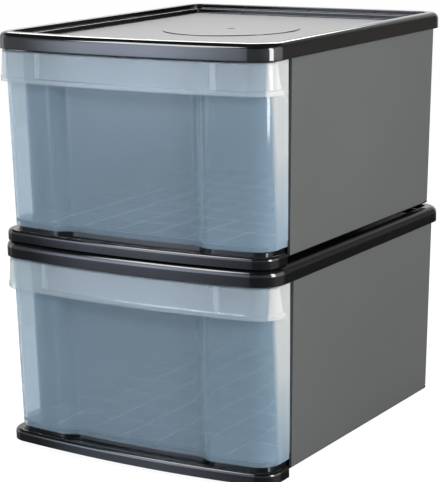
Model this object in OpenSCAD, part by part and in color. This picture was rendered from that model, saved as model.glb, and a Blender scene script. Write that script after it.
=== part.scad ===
// Stackable drawer box: two identical units, one standing on the other.
// A unit is a top cover, a three-sided shell, a base and a pull-out drawer.
// +Z is up and the drawers open towards -Y. The origin lies under the middle of the stack.

/* [Unit] */
// Overall width, across the rim of the top cover
unit_w = 300; // [260:1:360]
// Overall depth, from the middle of the bowed front to the back of the rim
unit_d = 365; // [320:1:440]
// Height of one unit, from the floor to the top of its rim
unit_h = 201.5; // [180:0.5:240]
// How far the middle of the front bows out past its corners
front_bow = 11; // [6:0.5:14]
// Plan radius of the front corners
corner_r = 26; // [24:1:30]
// Plan radius of the rear corners
rear_corner_r = 22; // [22:1:28]

/* [Top cover] */
// Height of the rim's outer band
rim_h = 15.5; // [13:0.5:18]
// Width of the rim, from its outer face to the recess
rim_w = 12; // [11:0.25:12.5]
// Radius that rounds the rim's upper outer edge
rim_round = 6.5; // [3:0.5:7]
// Wall thickness of the cover
cover_t = 2.5; // [2:0.25:3]
// Depth of the ledge on which the next unit stands, below the top of the rim
nest_depth = 4.5; // [4:0.25:5.5]
// Width of that ledge
ledge_w = 6; // [5:0.25:6.5]
// Depth of the panel below the ledge
panel_drop = 4.5; // [3:0.25:5]
// Number of locating ribs on the recess's rear wall
rear_ribs = 3; // [1:1:5]
// Distance between the locating ribs
rear_rib_pitch = 76; // [30:1:80]
// Width of a locating rib
rear_rib_w = 1.6; // [1:0.1:3]
// Diameter of the round pad in the middle of the panel
pad_d = 56; // [30:1:80]
// Height of the round pad
pad_h = 0.8; // [0.4:0.1:1]

/* [Shell] */
// Thickness of the side and back walls
wall_t = 2.5; // [2:0.25:3]
// Distance from the rim's outer face in to the top of the walls
wall_inset = 4.5; // [3.5:0.25:5]
// How much further in the walls are at the bottom
wall_draft = 4; // [2:0.25:5]
// Height of the walls' bottom edge above the floor
wall_lift = 10; // [9.5:0.25:11]
// Distance from the front of the unit back to the front edge of the side walls
mouth_back = 56.5; // [54:0.5:70]
// Radius of the rear bottom corner, seen from the side
heel_r = 4; // [2:0.25:4]

/* [Base] */
// Height of the sill's bottom edge above the floor
foot_h = 5; // [4.75:0.25:5.5]
// Height of the sill's front band
sill_h = 10.5; // [9:0.5:11]
// Distance from the rim's outer face in to the front of the sill
sill_inset = 1.5; // [1:0.25:3]
// Distance from the rim's outer face in to the side of the sill
sill_side = 3.5; // [2:0.25:5]
// Plan radius of the sill's corners
sill_corner_r = 20; // [16:1:22]
// Distance from the shell's front edge forward to the ends of the sill
sill_end = 13; // [10:0.5:16]
// Radius that rounds the sill's upper edge
sill_round = 3.5; // [2:0.5:4.5]
// Height of the wavy step behind the sill
step_h = 6; // [5:0.25:6.5]
// Wall thickness of the base
base_t = 3; // [2:0.25:3.5]
// How far the floor plate rises inside the shell
plate_rise = 1.5; // [1:0.25:2]
// Height of the lip that locates the shell
lip_h = 5; // [3:0.5:7]
// Width of the stacking rails under the base
rail_w = 4.5; // [3.5:0.25:4.5]
// Length of the rear stacking rail
rear_rail_l = 124; // [80:2:160]
// How far forward of the shell's front edge the front stacking rail ends
rail_front = 24; // [20:1:28]
// Distance between the two runners that carry the drawer
runner_pitch = 200; // [150:2:230]
// Width of a runner
runner_w = 3; // [2:0.5:5]

/* [Drawer] */
// Wall thickness of the drawer
drawer_t = 2; // [1.6:0.1:2.5]
// Distance from the rim's outer face in to the top of the drawer's front
drawer_inset = 5.5; // [5.5:0.25:6.5]
// How much further in the drawer's walls are at the bottom
drawer_draft = 3; // [2.5:0.25:4]
// How far the sides step in behind the drawer's front
tub_step = 5.5; // [5:0.25:6]
// Depth of the panel set back in the middle of the front
wave_d = 8; // [4:0.5:9]
// Half the width of the flat part of that panel
wave_in = 66; // [50:1:74]
// Half the width of that panel with its curved sides
wave_out = 88; // [80:1:92]
// Depth of the stop under the drawer's back edge, which meets the step when the drawer is out
stop_h = 4; // [3:0.25:6]

/* [Handle band] */
// Height of the band
band_h = 28.5; // [22:0.5:36]
// Thickness of the band
band_t = 2; // [1.5:0.1:2.5]
// How much further out the band is at the bottom than at the top
band_flare = 2.2; // [1:0.1:2.5]
// Height of the bead along the band's bottom edge
bead_h = 4; // [2.5:0.5:6]
// How far the bead stands out
bead_out = 0.8; // [0.4:0.1:1.2]
// Where the band ends on the corners at its bottom, measured from straight sideways
band_end = 1; // [0:1:20]
// How much sooner the band ends at its top
band_end_slant = 17; // [5:1:34]
// Distance between the two ribs behind the band
rib_pitch = 188; // [186:1:194]
// Width of those ribs
rib_w = 5; // [2:0.5:6]

/* [Clearances] */
// Between the drawer and the runners under it
runner_gap = 0.3; // [0.2:0.05:0.5]
// Between the drawer's top edge and the cover
top_gap = 1.5; // [0.8:0.1:2.5]
// Between the drawer's bottom edge and the step
step_gap = 1; // [0.5:0.1:1.5]
// Between the drawer's front and the shell's front edge
mouth_gap = 3; // [1.5:0.25:4]
// Between a stacking rail and the wall of the recess that it enters
nest_gap = 0.7; // [0.4:0.05:1]
// Between the shell and the lip inside it
lip_gap = 0.3; // [0.15:0.05:0.5]
// Between the band's ribs and the drawer's front
rib_gap = 0.3; // [0.3:0.05:0.5]

/* [Hidden] */
$fn = 64;

bow_n = 10;    // segments along half of the bowed front
corner_n = 5;  // segments round a corner
wave_n = 6;    // segments along one curved side of the front's panel
round_n = 4;   // segments round a moulded edge
bite = 0.5;    // how far joined solids run into each other

// The bowed front is an arc about bow_c, and each front corner an arc about front_c.
half_w = unit_w / 2;
bow_r = (half_w * half_w + front_bow * front_bow) / (2 * front_bow);
bow_c = [0, bow_r - unit_d / 2];
front_c = corner_at(0, 0, corner_r);
bow_a = meets_bow(front_c);
rear_c = [half_w - rear_corner_r, unit_d / 2 - rear_corner_r];

unit_pitch = unit_h - nest_depth;
rim_bottom = unit_h - rim_h;
ledge_z = unit_h - nest_depth;
panel_z = ledge_z - panel_drop;
panel_inset = rim_w + ledge_w;

mouth_y = mouth_back - unit_d / 2;
shell_top = unit_h - cover_t;
shell_h = shell_top - wall_lift;

sill_top = foot_h + sill_h;
step_top = sill_top + step_h;
plate_top = wall_lift + plate_rise;
sill_back = mouth_y - mouth_gap;
sill_c = corner_at(sill_inset, sill_side, sill_corner_r);

drawer_bottom = step_top + step_gap;
drawer_top = rim_bottom - top_gap;
drawer_h = drawer_top - drawer_bottom;
drawer_back = sill_back;
floor_top = drawer_bottom + drawer_t;
front_end = drawer_back - 2 * drawer_t;
stop_y = unit_d / 2 - drawer_inset - drawer_draft - tub_step - drawer_t;

band_bottom = drawer_top - band_h;

// The centre of a corner arc that runs into the bow at one end and the side at the other.
function corner_at(inset, side, r) = let (x = half_w - side - r)
    [x, bow_c.y - sqrt(pow(bow_r - inset - r, 2) - x * x)];
function meets_bow(c) = atan2(c.y - bow_c.y, c.x);

function arc(c, r, a0, a1, n) =
    [for (k = [0:n]) let (a = a0 + (a1 - a0) * k / n) c + r * [cos(a), sin(a)]];
function tail(p) = [for (k = [1:len(p) - 1]) p[k]];
function mirrored(p) = [for (k = [len(p) - 1:-1:0]) [-p[k].x, p[k].y]];
function backwards(p) = [for (k = [len(p) - 1:-1:0]) p[k]];
function lifted(p, z) = [for (q = p) [q.x, q.y, z]];

// The plan of the unit, moved in by the inset. It runs counter-clockwise.
function right_front(inset, end = 0) = concat(
    arc(bow_c, bow_r - inset, -90, bow_a, bow_n),
    tail(arc(front_c, corner_r - inset, bow_a, end, corner_n)));
function right_rear(inset) = arc(rear_c, rear_corner_r - inset, 0, 90, corner_n);
function outline(inset) = let (right = concat(right_front(inset), right_rear(inset)))
    concat(right, mirrored(tail(right)));

// A solid that lies between stacked closed rings of equal length.
module loft(rings) {
    n = len(rings[0]);
    m = len(rings);
    polyhedron(
        points = [for (ring = rings) each ring],
        faces = concat(
            [[for (j = [0:n - 1]) j]],
            [for (k = [0:m - 2], j = [0:n - 1]) let (i = (j + 1) % n)
                [k * n + j, (k + 1) * n + j, (k + 1) * n + i, k * n + i]],
            [[for (j = [n - 1:-1:0]) (m - 1) * n + j]]));
}

// A closed section carried round the plan. A section point is [inset, height].
module hoop(section) {
    rings = [for (s = section) lifted(outline(s[0]), s[1])];
    n = len(rings[0]);
    m = len(rings);
    polyhedron(
        points = [for (ring = rings) each ring],
        faces = [for (k = [0:m - 1], j = [0:n - 1]) let (i = (j + 1) % n, l = (k + 1) % m)
            [k * n + j, l * n + j, l * n + i, k * n + i]]);
}

// A closed section carried along open rings, with flat ends.
module strip(rings) {
    n = len(rings[0]);
    m = len(rings);
    polyhedron(
        points = [for (ring = rings) each ring],
        faces = concat(
            [for (k = [0:m - 1], j = [0:n - 2]) let (l = (k + 1) % m)
                [k * n + j, l * n + j, l * n + j + 1, k * n + j + 1]],
            [for (k = [1:m - 2]) [0, (k + 1) * n, k * n]],
            [for (k = [1:m - 2]) [n - 1, (k + 1) * n - 1, (k + 2) * n - 1]]));
}

module slab(inset, z0, z1) {
    translate([0, 0, z0]) linear_extrude(z1 - z0) polygon(outline(inset));
}

// Everything in front of y.
module front_of(y) {
    translate([-unit_w, y - unit_d, -unit_h]) cube([2 * unit_w, unit_d, 3 * unit_h]);
}

// ---- top cover ----

module cover() {
    lower_round = 1.5;
    inner_round = 1;
    ledge_under = ledge_z - cover_t;
    panel_under = panel_z - cover_t;
    section = concat(
        [[cover_t, rim_bottom], [lower_round, rim_bottom], [0, rim_bottom + lower_round]],
        [for (k = [0:round_n]) let (a = 90 * k / round_n)
            [rim_round * (1 - cos(a)), unit_h - rim_round * (1 - sin(a))]],
        [[rim_w - inner_round, unit_h], [rim_w, unit_h - inner_round], [rim_w, ledge_z],
         [panel_inset, ledge_z], [panel_inset, panel_under],
         [panel_inset - cover_t, panel_under], [panel_inset - cover_t, ledge_under],
         [rim_w - cover_t, ledge_under], [rim_w - cover_t, shell_top], [cover_t, shell_top]]);
    hoop(section);
    slab(panel_inset - cover_t / 2, panel_under, panel_z);
    translate([0, 0, panel_z - bite]) cylinder(d = pad_d, h = pad_h + bite);
    for (k = [0:rear_ribs - 1]) {
        translate([(k - (rear_ribs - 1) / 2) * rear_rib_pitch - rear_rib_w / 2,
                   unit_d / 2 - rim_w - nest_gap / 2, ledge_z - bite])
            cube([rear_rib_w, nest_gap, nest_depth]);
    }
}

// ---- shell ----

function wall_path(inset) = let (right = concat([[half_w - inset, mouth_y]], right_rear(inset)))
    concat(right, mirrored(right));
function wall_line(t, z) =
    lifted(wall_path(wall_inset + wall_draft * (shell_top - z) / shell_h + t), z);

// What is cut away outside the rounded corner between the floor and the back.
module heel_cut() {
    heel_y = unit_d / 2 - wall_inset - wall_draft - heel_r;
    translate([-unit_w, heel_y, wall_lift + heel_r]) rotate([0, 90, 0]) difference() {
        cube([heel_r + wall_lift, 2 * heel_r, 2 * unit_w]);
        translate([0, 0, -bite]) cylinder(r = heel_r, h = 2 * unit_w + 2 * bite);
    }
}

module shell() {
    difference() {
        strip([wall_line(0, wall_lift), wall_line(0, shell_top),
               wall_line(wall_t, shell_top), wall_line(wall_t, wall_lift)]);
        heel_cut();
    }
}

// ---- base ----

// The wavy front of the drawer, from the middle to where the corner starts.
function wave(x) = let (s = (wave_out - x) / (wave_out - wave_in))
    wave_d * (s <= 0 ? 0 : s >= 1 ? 1 : (1 - cos(180 * s)) / 2);
function wavy_front(inset) =
    let (r = bow_r - inset, x_end = r * cos(bow_a))
    let (xs = concat(
        [for (k = [0:2]) wave_in * k / 3],
        [for (k = [0:wave_n]) wave_in + (wave_out - wave_in) * k / wave_n],
        [for (k = [1:3]) wave_out + (x_end - wave_out) * k / 3]))
    [for (x = xs) [x, bow_c.y - sqrt(r * r - x * x) + wave(x)]];
function wavy_block(inset, back) =
    let (right = concat(
        wavy_front(inset),
        tail(arc(front_c, corner_r - inset, bow_a, 0, corner_n)),
        [[half_w - inset, back]]))
    concat(right, mirrored(tail(right)));

module wavy_slab(inset, back, z0, z1) {
    translate([0, 0, z0]) linear_extrude(z1 - z0) polygon(wavy_block(inset, back));
}

// The sill's plan, moved in by t.
function sill_plan(t) = let (a = meets_bow(sill_c), right = concat(
        arc(bow_c, bow_r - sill_inset - t, -90, a, bow_n),
        tail(arc(sill_c, sill_corner_r - t, a, 0, corner_n)),
        [[half_w - sill_side - t, mouth_y - sill_end]]))
    concat(right, mirrored(tail(right)));

// Part of a ring under the base that stands on the ledge of the unit below.
module rail(z1) {
    outer = rim_w + nest_gap;
    difference() {
        slab(outer, 0, z1);
        slab(outer + rail_w, -bite, z1 + bite);
    }
}

module base() {
    sill_section = concat(
        [[0, foot_h]],
        [for (k = [0:round_n]) let (a = 90 * k / round_n)
            [sill_round * (1 - cos(a)), sill_top - sill_round * (1 - sin(a))]]);
    foot_inset = drawer_inset + drawer_draft;
    plate_inset = wall_inset + wall_draft + 1;
    lip_inset = wall_inset + wall_draft + wall_t + lip_gap;
    plate_z = wall_lift - base_t / 2;

    // sill and wavy step, hollow from below
    difference() {
        union() {
            loft([for (s = sill_section) lifted(sill_plan(s[0]), s[1])]);
            wavy_slab(foot_inset + bite, sill_back, plate_z, step_top);
        }
        intersection() {
            translate([0, 0, foot_h - bite]) linear_extrude(sill_h - base_t + bite)
                polygon(sill_plan(base_t));
            front_of(mouth_y - sill_end - base_t);
        }
        wavy_slab(foot_inset + bite + base_t, sill_back - base_t, foot_h - bite, step_top - base_t);
    }
    // floor plate, with the lip round which the shell stands
    difference() {
        union() {
            slab(plate_inset, plate_z, wall_lift);
            slab(lip_inset, wall_lift - bite, plate_top);
            difference() {
                slab(lip_inset, plate_top - bite, plate_top + lip_h);
                slab(lip_inset + base_t, 0, unit_h);
                front_of(mouth_y + base_t);
            }
        }
        heel_cut();
        front_of(sill_back - base_t);
        intersection() {
            slab(0, plate_z - bite, plate_top + bite);
            front_of(sill_back - bite);
        }
    }
    intersection() {
        slab(plate_inset, plate_z, plate_top);
        translate([-unit_w, sill_back - base_t, 0]) cube([2 * unit_w, base_t + mouth_gap, unit_h]);
    }
    // runners
    runner_top = drawer_bottom - runner_gap;
    runner_end = unit_d / 2 - lip_inset - 2 * base_t;
    for (side = [-1, 1])
        translate([side * runner_pitch / 2 - runner_w / 2, sill_back - bite, plate_top - bite])
            cube([runner_w, runner_end - sill_back + bite, runner_top - plate_top + bite]);
    // stacking rails
    intersection() {
        rail(sill_top - base_t + bite);
        front_of(mouth_y - rail_front);
    }
    intersection() {
        rail(plate_z + bite);
        translate([-rear_rail_l / 2, 0, -bite]) cube([rear_rail_l, unit_d, unit_h]);
    }
}

// ---- drawer ----

// The drawer's outer face, moved in by t, at height z.
function drawer_skin(t, z) =
    let (inset = drawer_inset + drawer_draft * (drawer_top - z) / drawer_h + t)
    let (right = concat(
        wavy_front(inset),
        tail(arc(front_c, corner_r - inset, bow_a, 0, corner_n)),
        [[half_w - inset, drawer_back - t], [half_w - inset - tub_step, drawer_back - t]],
        right_rear(inset + tub_step)))
    lifted(concat(right, mirrored(tail(right))), z);

// One line of the band's section: its inset at a height.
function band_line(inset, z) =
    let (end = -band_end - band_end_slant * (z - band_bottom) / band_h)
    let (right = right_front(inset, end))
    lifted(concat(mirrored(tail(right)), right), z);

// The handle band round the front, with the flange and ribs that carry it.
module band() {
    edge = 1;
    top_inset = band_flare;
    strip([
        band_line(edge, band_bottom),
        band_line(0, band_bottom + edge),
        band_line(0, band_bottom + bead_h),
        band_line(bead_out, band_bottom + bead_h + edge),
        band_line(top_inset, drawer_top - edge),
        band_line(top_inset + edge, drawer_top),
        band_line(top_inset + band_t, drawer_top),
        band_line(bead_out + band_t, band_bottom)
    ]);
    // top flange from the drawer's front to the band
    flange_end = -band_end - band_end_slant;
    outer = right_front(top_inset + edge, flange_end);
    inner = concat(wavy_front(drawer_inset),
        tail(arc(front_c, corner_r - drawer_inset, bow_a, flange_end, corner_n)));
    translate([0, 0, drawer_top - drawer_t]) linear_extrude(drawer_t)
        polygon(concat(mirrored(tail(outer)), outer, backwards(inner), backwards(mirrored(tail(inner)))));
    // ribs behind the band
    for (side = [-1, 1]) {
        rib_x = side * rib_pitch / 2;
        rib_y = bow_c.y - sqrt(bow_r * bow_r - rib_x * rib_x);
        translate([rib_x - rib_w / 2, rib_y + bead_out + band_t, band_bottom + bead_h])
            cube([rib_w, drawer_inset - rib_gap - bead_out - band_t, band_h - bead_h - bite]);
    }
}

// The whole tub. It is drawn as two nodes that meet at front_end.
module tub() {
    loft([
        drawer_skin(0, drawer_bottom), drawer_skin(0, drawer_top),
        drawer_skin(drawer_t, drawer_top), drawer_skin(drawer_t, floor_top)
    ]);
}

// The wavy front and the parts of the walls and floor beside it.
module front() {
    intersection() {
        tub();
        front_of(front_end);
    }
}

// The rest of the tub, with the stop.
module drawer() {
    difference() {
        tub();
        front_of(front_end);
    }
    // the stop is under the back edge, between the runners
    stop_l = runner_pitch - 4 * runner_w;
    translate([-stop_l / 2, stop_y - drawer_t, drawer_bottom - stop_h])
        cube([stop_l, drawer_t, stop_h + drawer_t / 2]);
}

module upper() {
    translate([0, 0, unit_pitch]) children();
}

module lower_base() { color("#17181a") base(); }
module lower_shell() { color("#6a6c6b") shell(); }
module lower_cover() { color("#202123") cover(); }
module lower_drawer() { color("#a9c3d3", 0.6) drawer(); }
module lower_front() { color("#a9c3d3", 0.6) front(); }
module lower_band() { color("#a9c3d3", 0.6) band(); }
module upper_base() { color("#17181a") upper() base(); }
module upper_shell() { color("#6a6c6b") upper() shell(); }
module upper_cover() { color("#202123") upper() cover(); }
module upper_drawer() { color("#a9c3d3", 0.6) upper() drawer(); }
module upper_front() { color("#a9c3d3", 0.6) upper() front(); }
module upper_band() { color("#a9c3d3", 0.6) upper() band(); }

lower_base();
lower_shell();
lower_cover();
lower_drawer();
lower_front();
lower_band();
upper_base();
upper_shell();
upper_cover();
upper_drawer();
upper_front();
upper_band();
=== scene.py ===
import bpy
import bmesh
import math
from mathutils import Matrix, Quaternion, Vector


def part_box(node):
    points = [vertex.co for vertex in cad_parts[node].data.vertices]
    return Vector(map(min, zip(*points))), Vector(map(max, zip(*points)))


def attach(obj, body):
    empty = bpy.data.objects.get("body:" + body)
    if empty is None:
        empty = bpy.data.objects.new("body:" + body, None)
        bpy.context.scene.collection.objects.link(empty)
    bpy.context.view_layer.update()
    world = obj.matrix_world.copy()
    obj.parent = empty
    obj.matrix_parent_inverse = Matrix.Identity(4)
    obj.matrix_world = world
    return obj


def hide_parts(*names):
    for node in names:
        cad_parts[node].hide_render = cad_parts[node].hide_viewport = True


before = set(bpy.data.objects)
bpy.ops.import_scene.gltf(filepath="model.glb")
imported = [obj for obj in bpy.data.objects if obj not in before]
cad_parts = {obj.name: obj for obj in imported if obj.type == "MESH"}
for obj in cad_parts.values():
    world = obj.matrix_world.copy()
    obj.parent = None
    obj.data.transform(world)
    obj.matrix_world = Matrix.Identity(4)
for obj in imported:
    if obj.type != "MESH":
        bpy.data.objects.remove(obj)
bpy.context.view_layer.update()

mm = 0.001

# the plan that every moulding shares: straight sides, a bowed front and rounded corners
coverLow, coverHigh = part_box("lower_cover")
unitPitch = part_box("upper_cover")[0].z - coverLow.z
plan = {
    "halfWidth": coverHigh.x,
    "front": coverLow.y,
    "back": coverHigh.y,
    "bow": 11 * mm,
    "cornerRadius": 26 * mm,
    "rearRadius": 22 * mm,
    "bowSteps": 20,
    "cornerSteps": 12,
}
bowRadius = (plan["halfWidth"] ** 2 + plan["bow"] ** 2) / (2 * plan["bow"])
bowY = plan["front"] + bowRadius  # the bow's centre lies on the Y axis
touch = 0.01 * mm  # what lies nearer than this counts as the same place


def deselect():
    bpy.ops.object.select_all(action="DESELECT")


def pick(piece):
    deselect()
    piece.select_set(True)
    bpy.context.view_layer.objects.active = piece


def startLine(name, x, y, z):
    # a plane merged to one point, from which lines are drawn
    deselect()
    bpy.ops.mesh.primitive_plane_add(size=mm)
    piece = bpy.context.object
    piece.name = piece.data.name = name
    bpy.ops.object.mode_set(mode="EDIT")
    bpy.ops.mesh.select_mode(type="VERT")
    bpy.ops.mesh.select_all(action="SELECT")
    bpy.ops.mesh.merge(type="CENTER")
    bpy.ops.transform.translate(value=(x, y, z))
    return piece


def penPoint():
    mesh = bmesh.from_edit_mesh(bpy.context.object.data)
    return next(v.co.copy() for v in mesh.verts if v.select)


def lineTo(x, y):
    here = penPoint()
    bpy.ops.mesh.extrude_region_move(TRANSFORM_OT_translate={"value": (x - here.x, y - here.y, 0)})


def arcAbout(x, y, degrees, steps):
    # from the pen's point about x, y; the arc's last point becomes the pen's
    here = penPoint()
    bpy.ops.mesh.spin(steps=steps, angle=-math.radians(degrees), center=(x, y, here.z), axis=(0, 0, 1))
    mesh = bmesh.from_edit_mesh(bpy.context.object.data)
    mesh.verts.ensure_lookup_table()
    for v in mesh.verts:
        v.select_set(False)
    mesh.verts[-1].select_set(True)
    mesh.select_flush_mode()


def mirrorHalf():
    bpy.ops.mesh.select_all(action="SELECT")
    bpy.ops.mesh.symmetrize(direction="POSITIVE_X", threshold=touch)
    bpy.ops.mesh.select_all(action="SELECT")
    bpy.ops.mesh.remove_doubles(threshold=touch)


def fillFace(up):
    bpy.ops.mesh.select_all(action="SELECT")
    bpy.ops.mesh.edge_face_add()
    bpy.ops.mesh.select_mode(type="FACE")
    bpy.ops.mesh.select_all(action="SELECT")
    faces = bmesh.from_edit_mesh(bpy.context.object.data).faces
    faces.ensure_lookup_table()
    if (faces[0].normal.z > 0) != up:
        bpy.ops.mesh.flip_normals()


def faceTo(way):
    # neighbours made to agree; then the face furthest that way must look that way
    bpy.ops.mesh.select_mode(type="FACE")
    bpy.ops.mesh.select_all(action="SELECT")
    bpy.ops.mesh.normals_make_consistent(inside=False)
    faces = bmesh.from_edit_mesh(bpy.context.object.data).faces
    if max(faces, key=lambda f: f.calc_center_median().dot(way)).normal.dot(way) < 0:
        bpy.ops.mesh.flip_normals()


def push(distance):
    bpy.ops.mesh.extrude_region_move(TRANSFORM_OT_translate={"value": (0, 0, distance)})


def step(inward, along):
    bpy.ops.mesh.inset(thickness=inward, depth=along, use_even_offset=True)


def roundOver(radius, steps):
    # from upright to flat, as a quarter round
    for k in range(steps):
        a, b = (math.radians(90 * n / steps) for n in (k, k + 1))
        step(radius * (math.cos(a) - math.cos(b)), radius * (math.sin(b) - math.sin(a)))


def selectWhere(kind, test):
    # kind is edges or faces; those are selected whose points all pass the test
    bpy.ops.mesh.select_mode(type={"edges": "EDGE", "faces": "FACE"}[kind])
    bpy.ops.mesh.select_all(action="DESELECT")
    mesh = bmesh.from_edit_mesh(bpy.context.object.data)
    for item in getattr(mesh, kind):
        if all(test(v.co) for v in item.verts):
            item.select_set(True)
    mesh.select_flush_mode()
    bmesh.update_edit_mesh(bpy.context.object.data)


def openAt(z):
    # takes away the face that an extruded outline leaves where it started
    selectWhere("faces", lambda p: abs(p.z - z) < touch)
    bpy.ops.mesh.delete(type="ONLY_FACE")


def leaveEdit():
    bpy.ops.object.mode_set(mode="OBJECT")
    return bpy.context.object


def addModifier(piece, kind, **settings):
    modifier = piece.modifiers.new(kind, kind)
    for key, value in settings.items():
        setattr(modifier, key, value)
    bpy.context.view_layer.objects.active = piece
    bpy.ops.object.modifier_apply(modifier=modifier.name)


def thicken(piece, wall):
    addModifier(piece, "SOLIDIFY", thickness=wall, offset=-1, use_even_offset=True,
                use_quality_normals=True)


def softEdges(piece, width, steps=3, angle=32):
    addModifier(piece, "BEVEL", width=width, segments=steps, limit_method="ANGLE",
                angle_limit=math.radians(angle), use_clamp_overlap=True)


def smooth(piece, angle=40):
    # the flat faces keep their own direction, and only the roundings between them are blended
    pick(piece)
    bpy.ops.object.shade_smooth_by_angle(angle=math.radians(angle))
    addModifier(piece, "WEIGHTED_NORMAL", mode="FACE_AREA", weight=50, keep_sharp=True)


def block(name, low, high, edge):
    # a bar between two opposite corners, with softened edges
    deselect()
    bpy.ops.mesh.primitive_cube_add(size=1)
    piece = bpy.context.object
    piece.name = piece.data.name = name
    bpy.ops.object.mode_set(mode="EDIT")
    bpy.ops.transform.resize(value=[h - l for l, h in zip(low, high)])
    bpy.ops.transform.translate(value=[(l + h) / 2 for l, h in zip(low, high)])
    bpy.ops.mesh.bevel(offset=edge, segments=2, affect="EDGES")
    return leaveEdit()


def joinPieces(name, parts):
    deselect()
    for part in parts:
        part.select_set(True)
    bpy.context.view_layer.objects.active = parts[0]
    bpy.ops.object.join()
    parts[0].name = parts[0].data.name = name
    return parts[0]


def cornerCentre(inset, side, radius):
    # of an arc that runs into the bow at one end and the side at the other
    x = plan["halfWidth"] - side - radius
    return x, bowY - math.sqrt((bowRadius - inset - radius) ** 2 - x * x)


def bowDegrees(x, y):
    return math.degrees(math.atan2(y - bowY, x))


cornerX, cornerY = cornerCentre(0, 0, plan["cornerRadius"])
cornerTurn = bowDegrees(cornerX, cornerY)


def frontHalf(name, inset, z):
    # the right half of the bowed front, round the corner to straight sideways
    piece = startLine(name, 0, plan["front"] + inset, z)
    arcAbout(0, bowY, cornerTurn + 90, plan["bowSteps"])
    arcAbout(cornerX, cornerY, -cornerTurn, plan["cornerSteps"])
    return piece


def rearHalf(inset):
    # along the right side and round its rear corner to the middle of the back
    radius = plan["rearRadius"] - inset
    x, y = plan["halfWidth"] - plan["rearRadius"], plan["back"] - plan["rearRadius"]
    lineTo(x + radius, y)
    arcAbout(x, y, 90, plan["cornerSteps"])
    lineTo(0, y + radius)


coverSizes = {
    "rimRound": 6.5 * mm,
    "rimSteps": 8,
    "rimWidth": 12 * mm,
    "nestDepth": 4.5 * mm,
    "ledgeWidth": 6 * mm,
    "panelDrop": 4.5 * mm,
    "wall": 2.5 * mm,
    "edge": 0.7 * mm,
    "padRadius": 67 * mm,
    "padSides": 96,
    "padY": 14 * mm,
    "padHeight": 0.9 * mm,
    "padRing": 2 * mm,
    "padEdge": 0.35 * mm,
    "dimpleRadius": 4 * mm,
    "dimpleDepth": 0.85 * mm,
    "ribPitch": 76 * mm,
    "ribWidth": 1.6 * mm,
    "ribEdge": 0.25 * mm,
}


def makePad(panel):
    # low and round, with a dimple in its middle
    s = coverSizes
    deselect()
    bpy.ops.mesh.primitive_cylinder_add(vertices=s["padSides"], radius=s["padRadius"],
                                        depth=2 * s["padHeight"], location=(0, s["padY"], panel))
    pad = bpy.context.object
    bpy.ops.object.mode_set(mode="EDIT")
    selectWhere("faces", lambda p: p.z > 0)
    step(s["padRing"], 0)
    step(s["padRadius"] - s["padRing"] - s["dimpleRadius"], 0)
    push(-s["dimpleDepth"])
    leaveEdit()
    bpy.ops.object.transform_apply(location=True)
    softEdges(pad, s["padEdge"], 2)
    return pad


def makeRearRibs(ledge, panel):
    # a rib on each of the two steps of the back
    s = coverSizes
    ribs = []
    half = s["ribWidth"] / 2
    wallY = plan["back"] - s["rimWidth"]
    for place in (-1, 0, 1):
        x = place * s["ribPitch"]
        for y, low, high in ((wallY, ledge, coverHigh.z), (wallY - s["ledgeWidth"], panel, ledge)):
            ribs.append(block("rib", (x - half, y - half / 2, low - half),
                              (x + half, y + half, high - s["edge"]), s["ribEdge"]))
    return ribs


def makeCover(name):
    s = coverSizes
    piece = frontHalf(name, 0, coverLow.z)
    rearHalf(0)
    mirrorHalf()
    fillFace(up=True)
    push(coverHigh.z - coverLow.z - s["rimRound"])
    roundOver(s["rimRound"], s["rimSteps"])
    step(s["rimWidth"] - s["rimRound"], 0)
    push(-s["nestDepth"])
    step(s["ledgeWidth"], 0)
    push(-s["panelDrop"])
    openAt(coverLow.z)
    leaveEdit()
    thicken(piece, s["wall"])
    softEdges(piece, s["edge"])
    ledge = coverHigh.z - s["nestDepth"]
    panel = ledge - s["panelDrop"]
    return joinPieces(name, [piece, makePad(panel)] + makeRearRibs(ledge, panel))


shellLow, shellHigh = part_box("lower_shell")
shellSizes = {
    "inset": 4.5 * mm,
    "draft": 4 * mm,
    "wall": 2.5 * mm,
    "edge": 0.5 * mm,
    "heel": 2.3 * mm,
    "heelSteps": 4,
    "slack": 1 * mm,  # how far from their exact place the heel's edges are looked for
}


def wallRound(name, inset, front, top, bottom, draft, wall):
    # a wall along both sides and the back, open at the front
    side = plan["halfWidth"] - inset
    back = plan["back"] - inset
    piece = startLine(name, side, front, top)
    rearHalf(inset)
    mirrorHalf()
    push(bottom - top)
    bpy.ops.transform.resize(value=((side - draft) / side, (back - draft - front) / (back - front), 1),
                             center_override=(0, front, bottom))
    faceTo(Vector((1, 0, 0)))
    leaveEdit()
    thicken(piece, wall)
    return piece


def makeShell(name):
    s = shellSizes
    piece = wallRound(name, s["inset"], shellLow.y, shellHigh.z, shellLow.z, s["draft"], s["wall"])
    bpy.ops.object.mode_set(mode="EDIT")
    arcX = plan["halfWidth"] - plan["rearRadius"] - s["draft"]
    arcY = plan["back"] - plan["rearRadius"] - s["slack"] - s["draft"]
    inside = plan["rearRadius"] - s["inset"] - s["wall"] + s["slack"]

    def onHeel(p):
        # the outer lower edge of the back and of its two corners
        fromArc = Vector((max(abs(p.x) - arcX, 0), p.y - arcY))
        return p.z < shellLow.z + s["slack"] and p.y > arcY and fromArc.length > inside

    selectWhere("edges", onHeel)
    bpy.ops.mesh.bevel(offset=s["heel"], segments=s["heelSteps"], affect="EDGES")
    leaveEdit()
    softEdges(piece, s["edge"], 2)
    return piece


# the wavy front that drawer and base share
wave = {
    "depth": 8 * mm,
    "middle": 77 * mm,
    "round": 17 * mm,
    "steps": 8,
    "panelSteps": 10,
    "proudSteps": 6,
}


def shortTurn(degrees):
    # the same turn, at most half a circle either way
    return degrees - 360 * round(degrees / 360)


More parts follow.
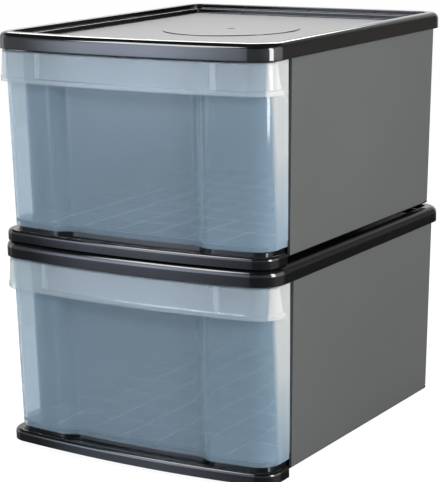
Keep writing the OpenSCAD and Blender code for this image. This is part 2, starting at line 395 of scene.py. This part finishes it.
def waveArcs(inset):
    # two arcs of one radius that lead from the set-back panel out to the bow; angles in degrees
    outer = bowRadius - inset
    inner = outer - wave["depth"]
    a, b, r = inner + wave["round"], outer - wave["round"], wave["round"]
    between = math.degrees(math.acos((a * a + b * b - 4 * r * r) / (2 * a * b)))
    middle = math.degrees(math.asin(wave["middle"] / outer)) - 90
    first, last = middle - between / 2, middle + between / 2
    spots = []
    for distance, degrees in ((a, first), (b, last)):
        turn = math.radians(degrees)
        spots.append(Vector((distance * math.cos(turn), bowY + distance * math.sin(turn))))
    link = spots[1] - spots[0]
    direction = math.degrees(math.atan2(link.y, link.x))
    turnIn = shortTurn(first + 180 - direction)
    turnOut = shortTurn(last - (direction + 180))
    return spots, first, last, turnIn, turnOut


def wavyHalf(name, inset, z):
    spots, first, last, turnIn, turnOut = waveArcs(inset)
    piece = startLine(name, 0, plan["front"] + inset + wave["depth"], z)
    arcAbout(0, bowY, first + 90, wave["panelSteps"])
    arcAbout(spots[0].x, spots[0].y, -turnIn, wave["steps"])
    arcAbout(spots[1].x, spots[1].y, turnOut, wave["steps"])
    arcAbout(0, bowY, cornerTurn - last, wave["proudSteps"])
    arcAbout(cornerX, cornerY, -cornerTurn, plan["cornerSteps"])
    return piece


baseSizes = {
    "foot": 5 * mm,
    "sillHeight": 10.5 * mm,
    "sillInset": 1.5 * mm,
    "sillSide": 3.5 * mm,
    "sillCorner": 20 * mm,
    "sillEnd": 13 * mm,
    "sillRound": 3.5 * mm,
    "sillSteps": 7,
    "stepHeight": 6 * mm,
    "stepInset": 12.2 * mm,
    "stepRound": 3.2 * mm,
    "stepSteps": 6,
    "wall": 3 * mm,
    "plateInset": 9.5 * mm,
    "plateLow": 8.5 * mm,
    "plateHigh": 11.5 * mm,
    "plateEdge": 0.4 * mm,
    "lipInset": 11.3 * mm,
    "lipHeight": 5 * mm,
    "railInset": 12.7 * mm,
    "railWidth": 4.5 * mm,
    "railEnd": 24 * mm,
    "rearRail": 124 * mm,
    "runnerPitch": 200 * mm,
    "runnerWidth": 3 * mm,
    "runnerTop": 22.2 * mm,
    "mouthGap": 3 * mm,
    "edge": 0.6 * mm,
}
sillTop = baseSizes["foot"] + baseSizes["sillHeight"]
mouthY = shellLow.y - baseSizes["mouthGap"]  # where the step ends, just in front of the shell


def makeSill(name):
    # a bullnosed cap, hollow from below
    s = baseSizes
    x, y = cornerCentre(s["sillInset"], s["sillSide"], s["sillCorner"])
    turn = bowDegrees(x, y)
    sill = startLine(name, 0, plan["front"] + s["sillInset"], s["foot"])
    arcAbout(0, bowY, turn + 90, plan["bowSteps"])
    arcAbout(x, y, -turn, plan["cornerSteps"])
    lineTo(plan["halfWidth"] - s["sillSide"], shellLow.y - s["sillEnd"])
    lineTo(0, shellLow.y - s["sillEnd"])
    mirrorHalf()
    fillFace(up=True)
    push(s["sillHeight"] - s["sillRound"])
    roundOver(s["sillRound"], s["sillSteps"])
    openAt(s["foot"])
    leaveEdit()
    thicken(sill, s["wall"])
    softEdges(sill, s["edge"])
    return sill


def makeWavyStep():
    # the drawer's front stands over it
    s = baseSizes
    wavy = wavyHalf("step", s["stepInset"], s["plateLow"])
    lineTo(plan["halfWidth"] - s["stepInset"], mouthY)
    lineTo(0, mouthY)
    mirrorHalf()
    fillFace(up=True)
    push(sillTop + s["stepHeight"] - s["stepRound"] - s["plateLow"])
    roundOver(s["stepRound"], s["stepSteps"])
    openAt(s["plateLow"])
    leaveEdit()
    thicken(wavy, s["wall"])
    softEdges(wavy, s["edge"])
    return wavy


def makePlate():
    # floor plate, and the lip that the shell stands round
    s = baseSizes
    plate = startLine("plate", 0, mouthY - s["wall"], s["plateLow"])
    lineTo(plan["halfWidth"] - s["plateInset"], mouthY - s["wall"])
    rearHalf(s["plateInset"])
    mirrorHalf()
    fillFace(up=True)
    push(shellLow.z - s["plateLow"])
    step(s["lipInset"] - s["plateInset"], 0)
    push(s["plateHigh"] - shellLow.z)
    leaveEdit()
    softEdges(plate, s["plateEdge"], 2)
    lip = wallRound("lip", s["lipInset"], shellLow.y + s["wall"], s["plateHigh"] + s["lipHeight"],
                    s["plateHigh"] - s["edge"], 0, s["wall"])
    softEdges(lip, s["edge"], 2)
    return [plate, lip]


def makeRunners():
    # the drawer slides on them
    s = baseSizes
    runners = []
    half = s["runnerWidth"] / 2
    end = plan["back"] - s["lipInset"] - 2 * s["wall"]
    for side in (-1, 1):
        x = side * s["runnerPitch"] / 2
        runners.append(block("runner", (x - half, mouthY - s["edge"], s["plateHigh"] - s["edge"]),
                             (x + half, end, s["runnerTop"]), s["edge"]))
    return runners


def makeRails():
    # stacking rails, which stand in the recess of the cover below
    s = baseSizes
    rail = frontHalf("rail", s["railInset"], 0)
    mirrorHalf()
    push(sillTop - s["wall"] + s["edge"])
    bpy.ops.mesh.select_all(action="SELECT")
    bpy.ops.mesh.bisect(plane_co=(0, shellLow.y - s["railEnd"], 0), plane_no=(0, 1, 0), clear_outer=True)
    faceTo(Vector((0, -1, 0)))
    leaveEdit()
    thicken(rail, s["railWidth"])
    softEdges(rail, s["edge"], 2)
    rearY = plan["back"] - s["railInset"]
    rearRail = block("rearRail", (-s["rearRail"] / 2, rearY - s["railWidth"], 0),
                     (s["rearRail"] / 2, rearY, s["plateLow"] + s["edge"]), s["edge"])
    return [rail, rearRail]


def makeBase(name):
    front = [makeSill(name), makeWavyStep()]
    floor = makePlate()
    runners = makeRunners()
    return joinPieces(name, front + floor + makeRails() + runners)


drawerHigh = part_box("lower_drawer")[1]
drawerSizes = {
    "inset": 5.5 * mm,
    "draft": 3 * mm,
    "wall": 2 * mm,
    "bottom": 22.5 * mm,
    "tubStep": 5.5 * mm,
    "tubRoundSteps": 3,
    "tubEdge": 0.4 * mm,
    "tubEdgeAngle": 40,
    "footRound": 2.4 * mm,
    "footSteps": 5,
    "skirtLap": 3 * mm,
    "skirtEdge": 0.8 * mm,
    "gridAcross": 7,
    "gridAlong": 8,
    "gridHeight": 0.6 * mm,
    "gridWidth": 1 * mm,
    "gridEdge": 0.25 * mm,
    "stopHeight": 4 * mm,
    "stopEdge": 0.5 * mm,
    "overlap": 0.2 * mm,
}
# the inner face of the tub's back, at the bottom
tubRear = (plan["back"] - drawerSizes["inset"] - drawerSizes["draft"] - drawerSizes["tubStep"]
           - drawerSizes["wall"])
bandSizes = {
    "height": 28.5 * mm,
    "wall": 2 * mm,
    "flare": 2.2 * mm,
    "beadHeight": 4 * mm,
    "beadOut": 0.8 * mm,
    "slope": 1 * mm,
    "edge": 0.6 * mm,
    "endLow": 1,
    "endSlant": 17,
    "ribPitch": 188 * mm,
    "ribWidth": 5 * mm,
    "ribEdge": 0.4 * mm,
}


def dress(parts, plastic):
    for part in parts:
        part.data.materials.append(plastic)


def narrowToBottom():
    # scales what is selected, as the drawer tapers from its rim to its bottom
    s = drawerSizes
    side = plan["halfWidth"] - s["inset"]
    reach = -plan["front"] - s["inset"]
    bpy.ops.transform.resize(value=(1 - s["draft"] / side, 1 - s["draft"] / reach, 1),
                             center_override=(0, 0, s["bottom"]))


def makeTub():
    s = drawerSizes
    tub = wavyHalf("tub", s["inset"], drawerHigh.z)
    side = plan["halfWidth"] - s["inset"]
    # the wide front gives way to the narrower tub in two quarter rounds
    corner = s["tubStep"] / 2
    lineTo(side, mouthY - corner)
    arcAbout(side - corner, mouthY - corner, 90, s["tubRoundSteps"])
    arcAbout(side - corner, mouthY + corner, -90, s["tubRoundSteps"])
    rearHalf(s["inset"] + s["tubStep"])
    mirrorHalf()
    fillFace(up=False)
    push(s["bottom"] - drawerHigh.z)
    narrowToBottom()
    openAt(drawerHigh.z)
    selectWhere("edges", lambda p: p.z < s["bottom"] + touch)
    bpy.ops.mesh.bevel(offset=s["footRound"], segments=s["footSteps"], affect="EDGES")
    leaveEdit()
    thicken(tub, s["wall"])
    softEdges(tub, s["tubEdge"], 2, s["tubEdgeAngle"])
    return tub


def makeSkirt():
    # the lower edge of the front hangs a little over the base's step
    s = drawerSizes
    skirt = wavyHalf("skirt", s["inset"], s["bottom"] + s["skirtLap"])
    lineTo(plan["halfWidth"] - s["inset"], mouthY - s["tubStep"] / 2)
    mirrorHalf()
    narrowToBottom()
    push(-s["skirtLap"] - s["stopHeight"])
    faceTo(Vector((0, -1, 0)))
    leaveEdit()
    thicken(skirt, s["wall"])
    softEdges(skirt, s["skirtEdge"], 3)
    return skirt


def makeFlange():
    # from the drawer's front out to the band, and round to where the band ends
    s = bandSizes
    inner = drawerSizes["inset"] + drawerSizes["wall"] / 2
    stop = -(s["endLow"] + s["endSlant"])
    spots, first, last, turnIn, turnOut = waveArcs(inner)
    flange = startLine("flange", 0, plan["front"] + s["flare"] + s["slope"], drawerHigh.z)
    arcAbout(0, bowY, cornerTurn + 90, plan["bowSteps"])
    arcAbout(cornerX, cornerY, stop - cornerTurn, plan["cornerSteps"])
    reach = plan["cornerRadius"] - inner
    turn = math.radians(stop)
    lineTo(cornerX + reach * math.cos(turn), cornerY + reach * math.sin(turn))
    arcAbout(cornerX, cornerY, cornerTurn - stop, plan["cornerSteps"])
    arcAbout(0, bowY, last - cornerTurn, wave["proudSteps"])
    arcAbout(spots[1].x, spots[1].y, -turnOut, wave["steps"])
    arcAbout(spots[0].x, spots[0].y, turnIn, wave["steps"])
    arcAbout(0, bowY, -90 - first, wave["panelSteps"])
    mirrorHalf()
    fillFace(up=False)
    push(-drawerSizes["wall"])
    leaveEdit()
    return flange


def makeBandRibs(low):
    # they hold the band to the front; thick plastic, which looks paler
    s = bandSizes
    ribs = []
    half = s["ribWidth"] / 2
    for side in (-1, 1):
        x = side * s["ribPitch"] / 2
        y = bowY - math.sqrt(bowRadius ** 2 - x * x)
        ribs.append(block("bandRib", (x - half, y + s["beadOut"] + s["wall"], low + s["beadHeight"]),
                          (x + half, y + drawerSizes["inset"] + drawerSizes["wall"] / 2,
                           drawerHigh.z - drawerSizes["wall"] / 2), s["ribEdge"]))
    return ribs


def makeBand(name):
    s = bandSizes
    low = drawerHigh.z - s["height"]
    band = frontHalf("band", 0, low)
    lineTo(plan["halfWidth"], 0)
    lineTo(0, 0)
    mirrorHalf()
    fillFace(up=True)
    push(s["beadHeight"])
    step(s["beadOut"], s["slope"])
    step(s["flare"] - s["beadOut"], s["height"] - s["beadHeight"] - 2 * s["slope"])
    step(s["slope"], s["slope"])
    bpy.ops.mesh.delete(type="ONLY_FACE")
    openAt(low)
    bpy.ops.mesh.select_all(action="SELECT")
    # both ends are cut off on one slant, given in degrees round the corner
    lowEnd = cornerY - plan["cornerRadius"] * math.sin(math.radians(s["endLow"]))
    highEnd = cornerY - plan["cornerRadius"] * math.sin(math.radians(s["endLow"] + s["endSlant"]))
    bpy.ops.mesh.bisect(plane_co=(0, lowEnd, low), plane_no=(0, s["height"], lowEnd - highEnd),
                        clear_outer=True)
    leaveEdit()
    thicken(band, s["wall"])
    softEdges(band, s["edge"])
    flange = makeFlange()
    ribs = makeBandRibs(low)
    dress([band, flange], hazyPolypropylene)
    dress(ribs, milkyPolypropylene)
    return joinPieces(name, [band, flange] + ribs)


def makeFloorLines():
    # raised and left matt in the mould, so that they show as pale lines
    s = drawerSizes
    lines = []
    floor = s["bottom"] + s["wall"]
    side = plan["halfWidth"] - s["inset"] - s["draft"] - s["tubStep"] - s["wall"] - s["footRound"] / 2
    near = plan["front"] + wave["depth"] + s["inset"] + s["draft"] + s["wall"] + plan["bow"] / 2
    far = tubRear - s["footRound"] / 2
    half = s["gridWidth"] / 2
    sunk = floor - s["overlap"]
    top = floor + s["gridHeight"]
    for k in range(1, s["gridAcross"]):
        x = side * (2 * k / s["gridAcross"] - 1)
        lines.append(block("line", (x - half, near, sunk), (x + half, far, top), s["gridEdge"]))
    for k in range(1, s["gridAlong"]):
        y = near + (far - near) * k / s["gridAlong"]
        lines.append(block("line", (-side, y - half, sunk), (side, y + half, top), s["gridEdge"]))
    return lines


def makeStop():
    # under the back edge, between the runners, where it meets the base's step
    s = drawerSizes
    half = baseSizes["runnerPitch"] / 2 - 2 * baseSizes["runnerWidth"]
    return block("stop", (-half, tubRear - s["wall"], s["bottom"] - s["stopHeight"]),
                 (half, tubRear, s["bottom"] + s["overlap"]), s["stopEdge"])


def makeDrawer(name):
    tub = makeTub()
    skirt = makeSkirt()
    lines = makeFloorLines()
    stop = makeStop()
    dress([tub, skirt, stop], clearPolypropylene)
    dress(lines, milkyPolypropylene)
    return joinPieces(name, [tub, skirt, stop] + lines)


def linear(code):
    # an sRGB hex colour as linear RGBA
    channels = [int(code[k:k + 2], 16) / 255 for k in (1, 3, 5)]
    return [c / 12.92 if c <= 0.04045 else ((c + 0.055) / 1.055) ** 2.4 for c in channels] + [1.0]


def addNode(tree, kind, inputs=None, **settings):
    # inputs maps a socket to a value, or to the socket that feeds it
    node = tree.nodes.new(kind)
    for key, value in settings.items():
        setattr(node, key, value)
    for key, value in (inputs or {}).items():
        if isinstance(value, bpy.types.NodeSocket):
            tree.links.new(value, node.inputs[key])
        else:
            node.inputs[key].default_value = value
    return node


def newMaterial(name):
    material = bpy.data.materials.new(name)
    material.use_nodes = True
    tree = material.node_tree
    tree.nodes.clear()
    return material, tree


blackLook = {
    "color": "#0e0f11",
    "ior": 1.59,
    "polish": (0.06, 0.1),
    "satin": 0.42,
    "smearSize": 22.2 * mm,
    "sinkSize": 90.9 * mm,
    "sinkBump": 0.012,
    "panelUnder": 10 * mm,
    "panelSpan": 9 * mm,
    "flatFrom": 0.98,
}


def glossPolystyrene():
    # high-impact polystyrene from a polished mould: near black, mirror-like, with faint sink waves;
    # the sunk top panel keeps the mould's brushed satin, which blurs what it mirrors
    s = blackLook
    material, tree = newMaterial("mouldedPolystyreneBlack")
    coords = addNode(tree, "ShaderNodeTexCoord")
    place = coords.outputs["Object"]
    sink = addNode(tree, "ShaderNodeTexNoise", {"Vector": place, "Scale": 1 / s["sinkSize"], "Detail": 1.0})
    bump = addNode(tree, "ShaderNodeBump", {"Strength": s["sinkBump"], "Distance": mm,
                                            "Height": sink.outputs["Fac"]})
    # the panel is what looks straight up, in a span of height close under where the next unit stands
    height = addNode(tree, "ShaderNodeSeparateXYZ", {0: place}).outputs["Z"]
    sunk = addNode(tree, "ShaderNodeMath", {0: height, 1: s["panelUnder"]}, operation="ADD")
    level = addNode(tree, "ShaderNodeMath", {0: sunk.outputs[0], 1: unitPitch}, operation="MODULO")
    low = addNode(tree, "ShaderNodeMath", {0: level.outputs[0], 1: s["panelSpan"]}, operation="LESS_THAN")
    upward = addNode(tree, "ShaderNodeSeparateXYZ", {0: coords.outputs["Normal"]}).outputs["Z"]
    flat = addNode(tree, "ShaderNodeMath", {0: upward, 1: s["flatFrom"]}, operation="GREATER_THAN")
    panel = addNode(tree, "ShaderNodeMath", {0: low.outputs[0], 1: flat.outputs[0]}, operation="MULTIPLY")
    smear = addNode(tree, "ShaderNodeTexNoise", {"Vector": place, "Scale": 1 / s["smearSize"],
                                                 "Detail": 4.0})
    polished = addNode(tree, "ShaderNodeMapRange", {"Value": smear.outputs["Fac"], "To Min": s["polish"][0],
                                                    "To Max": s["polish"][1]})
    rough = addNode(tree, "ShaderNodeMix", {"Factor": panel.outputs[0], "A": polished.outputs["Result"],
                                            "B": s["satin"]})
    shader = addNode(tree, "ShaderNodeBsdfPrincipled", {
        "Base Color": linear(s["color"]), "Roughness": rough.outputs["Result"], "IOR": s["ior"],
        "Normal": bump.outputs["Normal"]})
    addNode(tree, "ShaderNodeOutputMaterial", {"Surface": shader.outputs["BSDF"]})
    return material


greyLook = {
    "colors": ("#4b4d4c", "#535554"),
    "roughness": 0.55,
    "ior": 1.5,
    "grainSize": 1.111 * mm,  # the real grain is about a tenth of this, and would not show
    "grainBump": 0.25,
    "grainDepth": 0.15 * mm,
    "cloudSize": 111 * mm,
}


def mattePolystyrene():
    # the same plastic from a spark-eroded mould: a fine even grain that scatters the light
    s = greyLook
    material, tree = newMaterial("sparkErodedPolystyreneGrey")
    place = addNode(tree, "ShaderNodeTexCoord").outputs["Object"]
    grain = addNode(tree, "ShaderNodeTexNoise", {"Vector": place, "Scale": 1 / s["grainSize"],
                                                 "Detail": 2.0})
    bump = addNode(tree, "ShaderNodeBump", {"Strength": s["grainBump"], "Distance": s["grainDepth"],
                                            "Height": grain.outputs["Fac"]})
    cloud = addNode(tree, "ShaderNodeTexNoise", {"Vector": place, "Scale": 1 / s["cloudSize"],
                                                 "Detail": 3.0})
    tint = addNode(tree, "ShaderNodeMix", {"Factor": cloud.outputs["Fac"], "A": linear(s["colors"][0]),
                                           "B": linear(s["colors"][1])}, data_type="RGBA")
    shader = addNode(tree, "ShaderNodeBsdfPrincipled", {
        "Base Color": tint.outputs["Result"], "Roughness": s["roughness"], "IOR": s["ior"],
        "Normal": bump.outputs["Normal"]})
    addNode(tree, "ShaderNodeOutputMaterial", {"Surface": shader.outputs["BSDF"]})
    return material


plasticLook = {
    "glass": "#f6fafd",
    "roughness": 0.07,
    "ior": 1.49,
    "flowSize": 83.3 * mm,
    "flowBump": 0.015,
    "cornerFrom": 9 * mm,
    "cornerTo": 7 * mm,
    "paintedGlowColor": "#efefec",
    "paintedGlowHaze": 0.3,
    "through": 0.4,  # the share of the haze that lets light through
}


def polypropylene(name, haze, tint):
    # random-copolymer polypropylene with a blue tint: light passes and blurs a little, its crystals veil
    # it with a milky haze; towards the sides the haze is painted denser and whiter, a painted glow for the
    # light that the lit side walls let through
    s = plasticLook
    material, tree = newMaterial(name)
    place = addNode(tree, "ShaderNodeTexCoord").outputs["Object"]
    flow = addNode(tree, "ShaderNodeTexNoise", {"Vector": place, "Scale": 1 / s["flowSize"], "Detail": 1.0})
    bump = addNode(tree, "ShaderNodeBump", {"Strength": s["flowBump"], "Distance": mm,
                                            "Height": flow.outputs["Fac"]})
    clear = addNode(tree, "ShaderNodeBsdfPrincipled", {
        "Base Color": linear(s["glass"]), "Transmission Weight": 1.0, "Roughness": s["roughness"],
        "IOR": s["ior"], "Normal": bump.outputs["Normal"]})
    across = addNode(tree, "ShaderNodeSeparateXYZ", {0: place}).outputs["X"]
    aside = addNode(tree, "ShaderNodeMath", {0: across}, operation="ABSOLUTE")
    # painted glow: towards the sides the colour is made whiter, standing in for light that the lit side
    # walls let through
    corner = addNode(tree, "ShaderNodeMapRange", {
        "Value": aside.outputs[0], "From Min": plan["halfWidth"] - s["cornerFrom"],
        "From Max": plan["halfWidth"] - s["cornerTo"]})
    color = addNode(tree, "ShaderNodeMix", {"Factor": corner.outputs["Result"], "A": linear(tint),
                                            "B": linear(s["paintedGlowColor"])}, data_type="RGBA")
    scatter = addNode(tree, "ShaderNodeBsdfDiffuse", {"Color": color.outputs["Result"]})
    glow = addNode(tree, "ShaderNodeBsdfTranslucent", {"Color": color.outputs["Result"]})
    milk = addNode(tree, "ShaderNodeMixShader", {0: s["through"], 1: scatter.outputs["BSDF"],
                                                 2: glow.outputs["BSDF"]})
    # painted glow: the haze is also made denser towards the sides
    density = addNode(tree, "ShaderNodeMath", {0: corner.outputs["Result"], 1: s["paintedGlowHaze"], 2: haze},
                      operation="MULTIPLY_ADD", use_clamp=True)
    veil = addNode(tree, "ShaderNodeMixShader", {0: density.outputs[0], 1: clear.outputs["BSDF"],
                                                 2: milk.outputs["Shader"]})
    addNode(tree, "ShaderNodeOutputMaterial", {"Surface": veil.outputs["Shader"]})
    return material


# a haze above about 0.3 blurs what lies behind it, so only ribs and raised lines have more
clearPolypropylene = polypropylene("clearPolypropylene", haze=0.29, tint="#bedcf1")
hazyPolypropylene = polypropylene("hazyPolypropylene", haze=0.27, tint="#dcebf4")
milkyPolypropylene = polypropylene("milkyPolypropylene", haze=0.65, tint="#e9f3f8")
polystyrene = glossPolystyrene()

cameraSettings = {
    "azimuth": 31.51,
    "elevation": 12.06,
    "roll": -0.88,
    "lens": 134.5,
    "sensor": 36.0,
    "target": (-0.0082, 0.0, 0.1813),
    "distance": 1.7835,
    "clip": (0.05, 50),
}


def placeCamera():
    s = cameraSettings
    azimuth, elevation = math.radians(s["azimuth"]), math.radians(s["elevation"])
    back = Vector((math.sin(azimuth) * math.cos(elevation), -math.cos(azimuth) * math.cos(elevation),
                   math.sin(elevation)))
    deselect()
    bpy.ops.object.camera_add(location=Vector(s["target"]) + back * s["distance"])
    camera = bpy.context.object
    roll = Quaternion((0, 0, 1), math.radians(s["roll"]))
    camera.rotation_mode = "QUATERNION"
    camera.rotation_quaternion = (-back).to_track_quat("-Z", "Y") @ roll
    camera.data.lens = s["lens"]
    camera.data.sensor_width = s["sensor"]
    camera.data.clip_start, camera.data.clip_end = s["clip"]
    bpy.context.scene.camera = camera


placeCamera()
print("camera placed")

# the bodies and nodes are named without the unit's level, which the loop below puts before them
pieces = {
    "cover": {"make": makeCover, "material": polystyrene, "body": "case", "slot": "gloss_black",
              "nodes": ["cover"]},
    "shell": {"make": makeShell, "material": mattePolystyrene(), "body": "case", "slot": "matte_grey",
              "nodes": ["shell"]},
    "base": {"make": makeBase, "material": polystyrene, "body": "case", "slot": "gloss_black",
             "nodes": ["base"]},
    "drawer": {"make": makeDrawer, "material": clearPolypropylene, "body": "drawer", "slot": "clear_blue",
               "nodes": ["drawer", "front"]},
    "band": {"make": makeBand, "material": hazyPolypropylene, "body": "drawer", "slot": "clear_blue",
             "nodes": ["band"]},
}


def copyUp(piece, name):
    pick(piece)
    bpy.ops.object.duplicate()
    copy = bpy.context.object
    copy.name = copy.data.name = name
    bpy.ops.object.mode_set(mode="EDIT")
    bpy.ops.mesh.select_all(action="SELECT")
    bpy.ops.transform.translate(value=(0, 0, unitPitch))
    return leaveEdit()


for part, s in pieces.items():
    lower = s["make"]("lower" + part.capitalize())
    smooth(lower)
    if not lower.data.materials:
        lower.data.materials.append(s["material"])
    upper = copyUp(lower, "upper" + part.capitalize())
    for level, piece in (("lower", lower), ("upper", upper)):
        nodes = [level + "_" + node for node in s["nodes"]]
        for node in nodes:
            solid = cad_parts[node]
            solid.data.materials.clear()
            solid.data.materials.append(s["material"])
        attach(piece, level + "_" + s["body"])
        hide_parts(*nodes)
    print("made both of:", part)


def seenWhite(tree, ray):
    # 1 for what the camera sees directly or through clear plastic
    either = {0: ray.outputs["Is Camera Ray"], 1: ray.outputs["Is Transmission Ray"]}
    return addNode(tree, "ShaderNodeMath", either, operation="MAXIMUM").outputs[0]


floorSettings = {
    "size": 12,
    "color": "#f2f2f2",
    "glow": 1.12,
    "glowShare": 0.85,  # the rest is lit paper, which keeps the shadow
}


def makeFloor():
    s = floorSettings
    deselect()
    bpy.ops.mesh.primitive_plane_add(size=s["size"])
    floor = bpy.context.object
    floor.name = "floor"
    material, tree = newMaterial("paperSweepWhite")
    paper = addNode(tree, "ShaderNodeBsdfDiffuse", {"Color": linear(s["color"])})
    white = addNode(tree, "ShaderNodeEmission", {"Color": linear("#ffffff"), "Strength": s["glow"]})
    seen = seenWhite(tree, addNode(tree, "ShaderNodeLightPath"))
    share = addNode(tree, "ShaderNodeMath", {0: seen, 1: s["glowShare"]}, operation="MULTIPLY")
    mix = addNode(tree, "ShaderNodeMixShader", {0: share.outputs[0], 1: paper.outputs["BSDF"],
                                                2: white.outputs["Emission"]})
    addNode(tree, "ShaderNodeOutputMaterial", {"Surface": mix.outputs["Shader"]})
    floor.data.materials.append(material)
    floor.visible_glossy = False


lamps = {
    "keySoftbox": {"spot": (-0.82, -1.26, 1.5), "aim": (0, -0.1, 0.3), "size": (0.75, 0.6), "radiance": 12},
    "sideSoftbox": {"spot": (1.49, -0.29, 0.6), "aim": (0, 0, 0.6), "size": (0.4, 1.1), "radiance": 15.5},
    "rearSoftbox": {"spot": (-0.84, 1.36, 1.6), "aim": (0, 0, 0.4), "size": (1.6, 0.8), "radiance": 9.3},
}


def makeLamps():
    for name, s in lamps.items():
        deselect()
        bpy.ops.object.light_add(type="AREA", location=s["spot"])
        lamp = bpy.context.object
        lamp.name = name
        lamp.data.shape = "RECTANGLE"
        lamp.data.size, lamp.data.size_y = s["size"]
        lamp.data.energy = s["radiance"] * math.pi * s["size"][0] * s["size"][1]
        toward = Vector(s["aim"]) - Vector(s["spot"])
        lamp.rotation_mode = "QUATERNION"
        lamp.rotation_quaternion = toward.to_track_quat("-Z", "Y")


# what the gloss mirrors near the horizon: degrees from the front towards the right, colour, brightness
surroundings = [
    (-180, "#ffffff", 1.0), (-92, "#ffffff", 0.9), (-84, "#f4f8ff", 2.6), (-76, "#f4f8ff", 0.8),
    (-49, "#eaf2ff", 0.8), (-41, "#dfeaff", 4.9), (-29, "#dfeaff", 6.0), (-18, "#e4edff", 2.6),
    (-8, "#e4edff", 0.6), (38, "#ffffff", 0.45), (48, "#ffffff", 0.6), (80, "#ffffff", 1.0),
    (95, "#ffffff", 2.4), (105, "#ffffff", 2.2), (134, "#ffffff", 1.5), (145, "#fff9ec", 0.25),
    (160, "#fff9ec", 0.15), (172, "#ffffff", 0.8), (180, "#ffffff", 1.0),
]
# higher up it fades to overhead, and under the horizon to below; the fades are heights on a unit sphere
studio = {
    "peak": 6.0,
    "overhead": 0.25,
    "overheadFade": (0.35, 0.6),
    "below": 0.2,
    "belowFade": (-0.2, -0.11),
    "fill": 0.3,
}


def makeWorld():
    s = studio
    world = bpy.data.worlds.new("studio")
    bpy.context.scene.world = world
    world.use_nodes = True
    tree = world.node_tree
    tree.nodes.clear()
    toward = addNode(tree, "ShaderNodeTexCoord").outputs["Generated"]
    way = addNode(tree, "ShaderNodeSeparateXYZ", {0: toward})
    front = addNode(tree, "ShaderNodeMath", {0: way.outputs["Y"], 1: -1.0}, operation="MULTIPLY")
    turn = addNode(tree, "ShaderNodeMath", {0: way.outputs["X"], 1: front.outputs[0]}, operation="ARCTAN2")
    share = addNode(tree, "ShaderNodeMapRange", {"Value": turn.outputs[0], "From Min": -math.pi,
                                                 "From Max": math.pi})
    ramp = addNode(tree, "ShaderNodeValToRGB", {"Fac": share.outputs["Result"]})
    stops = ramp.color_ramp.elements
    for k, (degrees, color, bright) in enumerate(surroundings):
        stop = stops[k] if k < 2 else stops.new(1.0)  # a ramp starts with two stops
        stop.position = (degrees + 180) / 360
    for stop, (degrees, color, bright) in zip(stops, surroundings):
        stop.color = [c * bright / s["peak"] for c in linear(color)[:3]] + [1.0]
    high = addNode(tree, "ShaderNodeMapRange", {
        "Value": way.outputs["Z"], "From Min": s["overheadFade"][0], "From Max": s["overheadFade"][1],
        "To Min": s["peak"], "To Max": s["overhead"]})
    low = addNode(tree, "ShaderNodeMapRange", {
        "Value": way.outputs["Z"], "From Min": s["belowFade"][0], "From Max": s["belowFade"][1],
        "To Min": s["below"]})
    level = addNode(tree, "ShaderNodeMath", {0: high.outputs["Result"], 1: low.outputs["Result"]},
                    operation="MULTIPLY")
    mirrored = addNode(tree, "ShaderNodeBackground", {"Color": ramp.outputs["Color"],
                                                      "Strength": level.outputs[0]})
    soft = addNode(tree, "ShaderNodeBackground", {"Color": linear("#ffffff"), "Strength": s["fill"]})
    white = addNode(tree, "ShaderNodeBackground", {"Color": linear("#ffffff"), "Strength": 1.0})
    ray = addNode(tree, "ShaderNodeLightPath")
    lit = addNode(tree, "ShaderNodeMixShader", {
        0: ray.outputs["Is Glossy Ray"], 1: soft.outputs["Background"], 2: mirrored.outputs["Background"]})
    mix = addNode(tree, "ShaderNodeMixShader", {0: seenWhite(tree, ray), 1: lit.outputs["Shader"],
                                                2: white.outputs["Background"]})
    addNode(tree, "ShaderNodeOutputWorld", {"Surface": mix.outputs["Shader"]})


makeFloor()
makeLamps()
makeWorld()
bpy.context.scene.view_settings.view_transform = "Standard"
print("floor, lamps and world ready")
